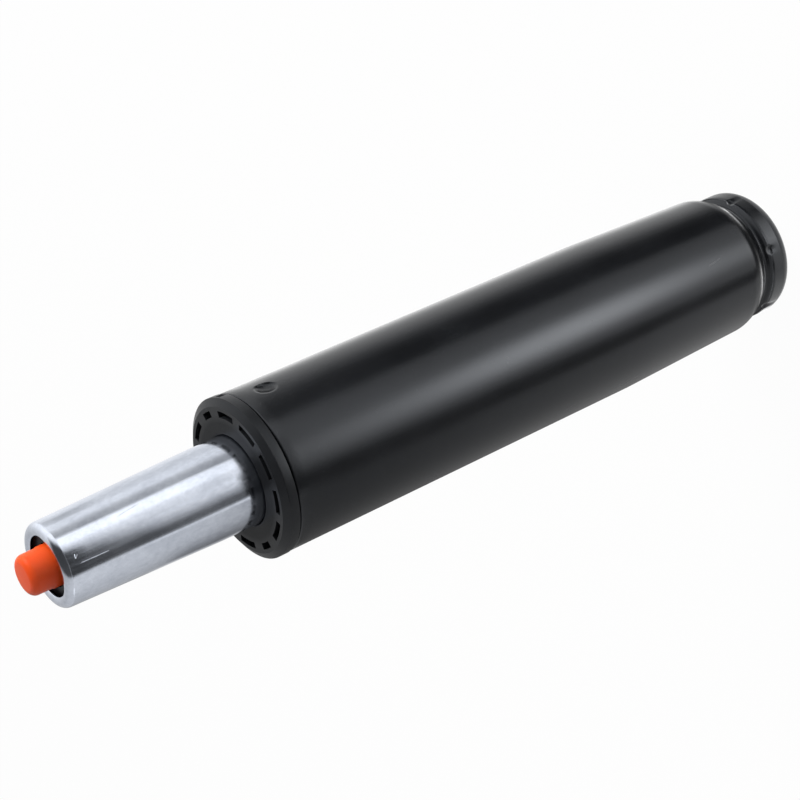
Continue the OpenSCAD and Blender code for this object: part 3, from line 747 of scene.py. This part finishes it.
FINISHES = {
    "black_paint": paint_finish(),
    "bright_zinc": zinc_finish(),
    "orange_plastic": orange_finish(),
    "black_nylon": nylon_finish(),
}
FINISHES.update({name: moulded_finish(name, *looks)[0] for name, looks in MOULDED.items()})
FINISHES.update({name: metal_finish(name, *looks) for name, looks in METALS.items()})

NODE_SLOTS = {row["node"]: row["material_slot"] for row in frame["record"]["subparts"]}
for name, slot in NODE_SLOTS.items():
    materials = frame["nodes"][name].data.materials
    materials.clear()
    materials.append(FINISHES[slot])


# Pieces that stand for the shells of the frame

def piece(name, mesh, node, body, sharp=SHARP_ANGLE):
    """A smooth-shaded object for the mesh, which stands for a node of the frame and takes its finish."""
    mesh.shade_smooth()
    mesh.set_sharp_from_angle(angle=math.radians(sharp))
    made = bpy.data.objects.new(name, mesh)
    bpy.context.scene.collection.objects.link(made)
    made.data.materials.append(FINISHES[NODE_SLOTS[node]])
    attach(made, body)
    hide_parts(node)
    return made


lift_mesh = mesh_from("lift_tube", *turned(lift_outline(), turns(TURN_STEP)))
button_mesh = mesh_from("push_button", *turned(button_outline(), turns(BUTTON_TURN_STEP)))
piece("tube_shell", tube_mesh(), "outer_tube", "outer_column")
bush = piece("slotted_bush", bush_mesh(), "guide_bush", "outer_column", BUSH_SHARP_ANGLE)
piece("lift_tube", lift_mesh, "pressure_tube", "lift_column")
piece("push_button", button_mesh, "release_button", "button_set")

soft_edges = bush.modifiers.new("soft_edges", "BEVEL")
soft_edges.width = SOFT_EDGE
soft_edges.segments = 2
soft_edges.limit_method = "ANGLE"
soft_edges.angle_limit = math.radians(SHARP_ANGLE)
soft_edges.harden_normals = True

# Stage: white floor and world, which the camera and reflections see as plain white
FLOOR_Z = -0.2 * MM
FLOOR_HALF = 4.0
FLOOR_TONES = (0.79, 0.79, 0.79), (0.81, 0.81, 0.81)
SHADOW_SHARE = 0.03
AMBIENT = 0.35


def seen_directly(tree):
    """1 for camera, glossy and transmission rays, 0 for the light that falls on things."""
    path = add(tree, "ShaderNodeLightPath").outputs
    shown = math_node(tree, "MAXIMUM", path["Is Camera Ray"], path["Is Glossy Ray"])
    return math_node(tree, "MAXIMUM", shown, path["Is Transmission Ray"])


def mix_into_surface(tree, share, low, high):
    """Shows a mix of two shaders, by share."""
    mixed = add(tree, "ShaderNodeMixShader", {0: share, 1: low, 2: high}).outputs[0]
    tree.links.new(mixed, tree.nodes["Material Output"].inputs["Surface"])


def glow(tree, strength):
    """A white light that the surface gives off."""
    return add(tree, "ShaderNodeEmission", {"Color": WHITE, "Strength": strength}).outputs[0]


def floor_finish():
    """White, with a faint share of the shadow that falls on it."""
    made, tree, shader, place = new_finish("floor_white")
    tone = between(tree, noise(tree, place, 3), *FLOOR_TONES)
    feed(tree, shader, Base_Color=tone, Roughness=0.9, Specular_IOR_Level=0.0)
    share = math_node(tree, "MULTIPLY", seen_directly(tree), 1 - SHADOW_SHARE)
    mix_into_surface(tree, share, shader.outputs[0], glow(tree, 1.0))
    return made


def stage_mesh(name, verts, faces, material):
    """A mesh of the stage, which isn't part of the object."""
    mesh = bpy.data.meshes.new(name)
    mesh.from_pydata(verts, [], faces)
    mesh.materials.append(material)
    made = bpy.data.objects.new(name, mesh)
    bpy.context.scene.collection.objects.link(made)
    made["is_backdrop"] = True
    return made


corners = [(x * FLOOR_HALF, y * FLOOR_HALF, FLOOR_Z) for x, y in ((-1, -1), (1, -1), (1, 1), (-1, 1))]
stage_mesh("floor", corners, [(0, 1, 2, 3)], floor_finish())

world = bpy.data.worlds.new("studio")
bpy.context.scene.world = world
world.use_nodes = True
world_tree = world.node_tree
strength = remap(world_tree, seen_directly(world_tree), UNIT, (AMBIENT, 1))
feed(world_tree, world_tree.nodes["Background"], Color=WHITE, Strength=strength)

# Cards, which only reflections see: they give the walls and the rounded ends their bands
LEVEL = "level"
COVER = "cover"
CARD_ROWS, CARD_COLUMNS = 36, 36


def card_finish():
    """A glow by each point's level, which each point's cover lets show."""
    made, tree, _, _ = new_finish("card")
    level = add(tree, "ShaderNodeAttribute", attribute_name=LEVEL).outputs["Fac"]
    cover = add(tree, "ShaderNodeAttribute", attribute_name=COVER).outputs["Fac"]
    clear = add(tree, "ShaderNodeBsdfTransparent").outputs[0]
    mix_into_surface(tree, cover, clear, glow(tree, level))
    return made


CARD = card_finish()


def along(path, share):
    """The value of a path of (share, value) pairs, or the path itself if it is a plain number."""
    return float(path if isinstance(path, (int, float)) else np.interp(share, *zip(*path)))


def eased(share):
    """A share of 0 to 1, eased at both ends."""
    return share * share * (3 - 2 * share)


def reflected_only(made):
    """Leaves a stage piece to the reflections alone."""
    made.visible_camera = False
    made.visible_diffuse = False
    made.visible_transmission = False
    made.visible_volume_scatter = False
    made.visible_shadow = False


def card(name, place, left, right, soft, tones, fade=1):
    """A card between a left and a right edge.

    place gives the point for a way across the card and a share of its length. The edges, their
    softness and the fade are paths over that length, and tones are (way across, level) pairs.
    """
    verts, cover, levels = [], [], []
    for i in range(CARD_ROWS + 1):
        share = i / CARD_ROWS
        low, high = along(left, share), along(right, share)
        for j in range(CARD_COLUMNS + 1):
            across = low + (high - low) * j / CARD_COLUMNS
            verts.append(place(across, share))
            ends = min((across - low) / along(soft[0], share), (high - across) / along(soft[1], share), 1)
            cover.append(eased(max(ends, 0)))
            levels.append(along(tones, across) * along(fade, share))
    faces = []
    for i in range(CARD_ROWS):
        for j in range(CARD_COLUMNS):
            k = i * (CARD_COLUMNS + 1) + j
            faces.append((k, k + 1, k + CARD_COLUMNS + 2, k + CARD_COLUMNS + 1))
    made = stage_mesh(name, verts, faces, CARD)
    for key, values in ((COVER, cover), (LEVEL, levels)):
        made.data.attributes.new(key, "FLOAT", "POINT").data.foreach_set("value", values)
    reflected_only(made)


# Lanes: a lane leaves a round wall the way that a ray seen so many degrees from its front is mirrored
NEAR, MIDDLE, FAR = 2 * MM, 422 * MM, 3400 * MM
LAYER = 1 * MM
TIP_BEND = 3


def lanes(height, near, far, bend=1, wall=TUBE_R):
    """Places at a height between two reaches from a round wall, across in degrees from its front."""
    def place(across, share):
        reach = near + (far - near) * share ** bend
        face, away = math.radians(across - 90), math.radians(2 * across - 90)
        x = wall * math.cos(face) + reach * math.cos(away)
        y = wall * math.sin(face) + reach * math.sin(away)
        return x, y, height
    return place


def tube_lanes(layer):
    """Where the painted tube's wall mirrors, on one of the layers over the floor."""
    return lanes(layer * LAYER, NEAR, MIDDLE)


def tip_lanes(layer):
    """Where the bright tube's wall mirrors, on one of the layers over the floor."""
    return lanes(layer * LAYER, MIDDLE, FAR, TIP_BEND)


GROOVE_LANES = lanes(9.5 * MM, 1.6 * MM, 8 * MM, wall=NECK_R)
BEAD_LANES = lanes(4.5 * MM, 0.2 * MM, 7 * MM, wall=BEAD_R)
SHADE_LANES = lanes(1.5 * LAYER, MIDDLE, 620 * MM)
STREAK_LANES = lanes(2 * LAYER, 740 * MM, 872 * MM)
STRIPE_LANES = lanes(4 * LAYER, 790 * MM, 850 * MM)
FOOT_LANES = lanes(TUBE_TOP + 3 * MM, 0.3 * MM, 5 * MM, wall=COLLAR_R)

# What the painted tube mirrors
card("card_low_grey", tube_lanes(1), -92, -26, (3, 1),
     [(-92, 0.18), (-78, 0.29), (-72, 0.37), (-60, 0.47), (-48, 0.49), (-26, 0.53)],
     [(0, 1.6), (0.5, 1), (1, 0.58)])
card("card_low_dark", tube_lanes(2), -30, [(0, -16), (1, -8)], (4, [(0, 6), (1, 9)]), 0.15)
card("card_core", tube_lanes(3), -14, 13, (13, 13), 6.5,
     [(0, 0.38), (0.07, 0.42), (0.14, 0.64), (0.25, 0.92), (0.37, 0.96), (0.51, 0.67), (0.69, 0.42),
      (0.83, 0.36), (1, 0.33)])
card("card_ledge", tube_lanes(1), 8, 26, (4, 0.5), [(8, 1.4), (18, 1.0), (26, 0.62)], [(0, 0.85), (1, 1.1)])
card("card_high_dark", tube_lanes(2), 25.5, 62, (1.5, 22), 0.02)
card("card_high_light", tube_lanes(1), 48, 92, (14, 2),
     [(48, 0.95), (66, 0.96), (72, 1.25), (78, 1.72), (92, 1.72)])
# What the bead and the groove above it mirror
card("card_groove", GROOVE_LANES, -90, 90, (3, 3),
     [(-75, 0.4), (-60, 1.0), (-45, 4.0), (-30, 3.4), (-15, 0.6), (0, 0.16), (15, 0.16), (24, 1.2), (30, 2.6),
      (45, 4.0), (60, 1.6), (75, 0.4)],
     [(0, 1), (0.2, 1), (0.32, 0.17), (1, 0.17)])
card("card_bead", BEAD_LANES, -90, 90, (3, 3),
     [(-80, 2.2), (-70, 1.1), (-60, 0.9), (-45, 1.05), (-30, 0.85), (-15, 1.2), (0, 3.0), (15, 1.5),
      (24, 0.45), (30, 0.2), (45, 0.42), (60, 0.75), (75, 0.9)])
# What the bright tube mirrors
card("card_tip_low", tip_lanes(1), -92, -26, (3, 1),
     [(-92, 0.36), (-72, 0.46), (-60, 0.52), (-48, 0.60), (-36, 0.66), (-26, 0.66)],
     [(0, 0.55), (0.26, 0.7), (0.45, 1), (0.52, 1.05), (1, 1.05)])
card("card_tip_shade", SHADE_LANES, -92, -34, (3, 6),
     [(-92, 0.5), (-80, 0.5), (-76, 0.3), (-72, 0.17), (-66, 0.2), (-60, 0.26), (-54, 0.32), (-48, 0.4),
      (-42, 0.45), (-34, 0.5)],
     [(0, 0.9), (0.5, 1.05), (1, 1.4)])
card("card_tip_dark", tip_lanes(3), [(0, -26), (0.48, -26.5), (0.52, -27.5), (1, -27.5)],
     [(0, 1), (0.26, 1), (0.37, -1), (0.41, -2.5), (0.44, -0.5), (0.48, 8), (0.52, 9.5), (0.54, 13.5),
      (1, 16)],
     ([(0, 5), (0.5, 3), (1, 2)], [(0, 18), (0.44, 17), (0.48, 14), (0.52, 10.5), (1, 10)]),
     0.06, [(0, 2), (0.41, 2.2), (0.45, 1.4), (0.5, 0.8), (0.54, 0.5), (1, 0.9)])
card("card_tip_light", tip_lanes(2), -12, 26.5, (2, 0.5),
     [(-12, 0.85), (6, 0.9), (12, 1), (16, 1.35), (26, 1.35)],
     [(0, 0.78), (0.26, 0.85), (0.4, 1), (1, 1)])
card("card_tip_high", tip_lanes(1), 26.5, 92, (0.5, 2),
     [(26, 0.34), (30, 0.40), (36, 0.53), (42, 0.92), (48, 0.92), (54, 0.80), (60, 0.76), (66, 0.85),
      (72, 0.94), (92, 1)])
card("card_tip_streak", STREAK_LANES, 49, 65, (5, 5), 0.46)
card("card_tip_foot", FOOT_LANES, -32, 14, (8, 14), 0.02)
card("card_tip_stripe", STRIPE_LANES, -15, -9, (2, 2), 0.26)

# What the rounded ends mirror: a sky that is grey on one side and light on the other, and under it a
# dark strip from the horizon in front up over the object
SKY_R, STRIP_R = 3.8, 0.35
SKY_START, SKY_END, STRIP_END = (math.radians(rise) for rise in (-3, 183, 132))


def dome(radius, end, height=0.0):
    """Places on a dome: across towards +X as a share of its radius, and up from the front by share."""
    def place(across, share):
        rise = SKY_START + (end - SKY_START) * share
        level = math.sqrt(1 - across ** 2)
        return radius * across, -radius * level * math.cos(rise), height + radius * level * math.sin(rise)
    return place


card("sky_grey", dome(SKY_R, SKY_END), -0.995, 0.995, (0.01, 0.01),
     [(-1, 0.62), (-0.5, 0.60), (-0.2, 0.54), (0, 0.58), (0.2, 0.66), (0.4, 0.76), (0.55, 0.9), (0.75, 1.1),
      (1, 1.2)])
card("sky_dark", dome(STRIP_R, STRIP_END, TIP_Z),
     [(0, -0.77), (0.23, -0.77), (0.44, -0.68), (0.59, -0.55), (0.73, -0.42), (0.785, -0.36), (0.92, -0.2),
      (1, -0.12)],
     [(0, 0.6), (0.1, 0.72), (0.21, 0.8), (0.59, 0.82), (0.73, 0.72), (0.785, 0.5), (0.92, 0.3), (1, 0.22)],
     ([(0, 0.06), (0.49, 0.12), (0.785, 0.25), (0.92, 0.2), (1, 0.15)],
      [(0, 0.35), (0.75, 0.35), (0.92, 0.2), (1, 0.17)]),
     0.055, [(0, 1), (0.9, 1), (1, 5)])

# Camera, where the photograph was taken from
CAMERA_PLACE = Vector((0, -510.2, 453.6)) * MM
CAMERA_AIM = Vector((1.83, 0, 151.24)) * MM
CAMERA_ROLL = math.radians(114.3)
CAMERA_LENS = 87.286
CAMERA_CLIP = 10 * MM

camera = bpy.data.objects.new("camera", bpy.data.cameras.new("camera"))
bpy.context.scene.collection.objects.link(camera)
camera.data.lens = CAMERA_LENS
camera.data.clip_start = CAMERA_CLIP
ahead = (CAMERA_AIM - CAMERA_PLACE).normalized()
aside = ahead.cross(Vector((0, 0, 1))).normalized()
up = aside.cross(ahead) * math.cos(CAMERA_ROLL) + aside * math.sin(CAMERA_ROLL)
facing = Matrix((ahead.cross(up), up, -ahead)).transposed()
camera.matrix_world = Matrix.Translation(CAMERA_PLACE) @ facing.to_4x4()
bpy.context.scene.camera = camera

# Key light, soft and square, from the right; the cards stand for it in the reflections
KEY_WAY = Vector((0.85, -0.10, 0.50))
KEY_DISTANCE = 1.5
KEY_SIZE = 0.8
KEY_POWER = 21

key_light = bpy.data.objects.new("key", bpy.data.lights.new("key", "AREA"))
bpy.context.scene.collection.objects.link(key_light)
key_light.data.size = KEY_SIZE
key_light.data.energy = KEY_POWER
middle = Vector((0, 0, (cad_box[0].z + cad_box[1].z) / 2))
key_light.location = middle + KEY_WAY.normalized() * KEY_DISTANCE
key_light.rotation_euler = KEY_WAY.to_track_quat("Z", "Y").to_euler()
key_light.visible_glossy = False

bpy.context.scene.view_settings.view_transform = "Standard"

visual_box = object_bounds()
boxes = {"cad": cad_box, "visual": visual_box}
{key: [list(corner) for corner in box] for key, box in boxes.items()}
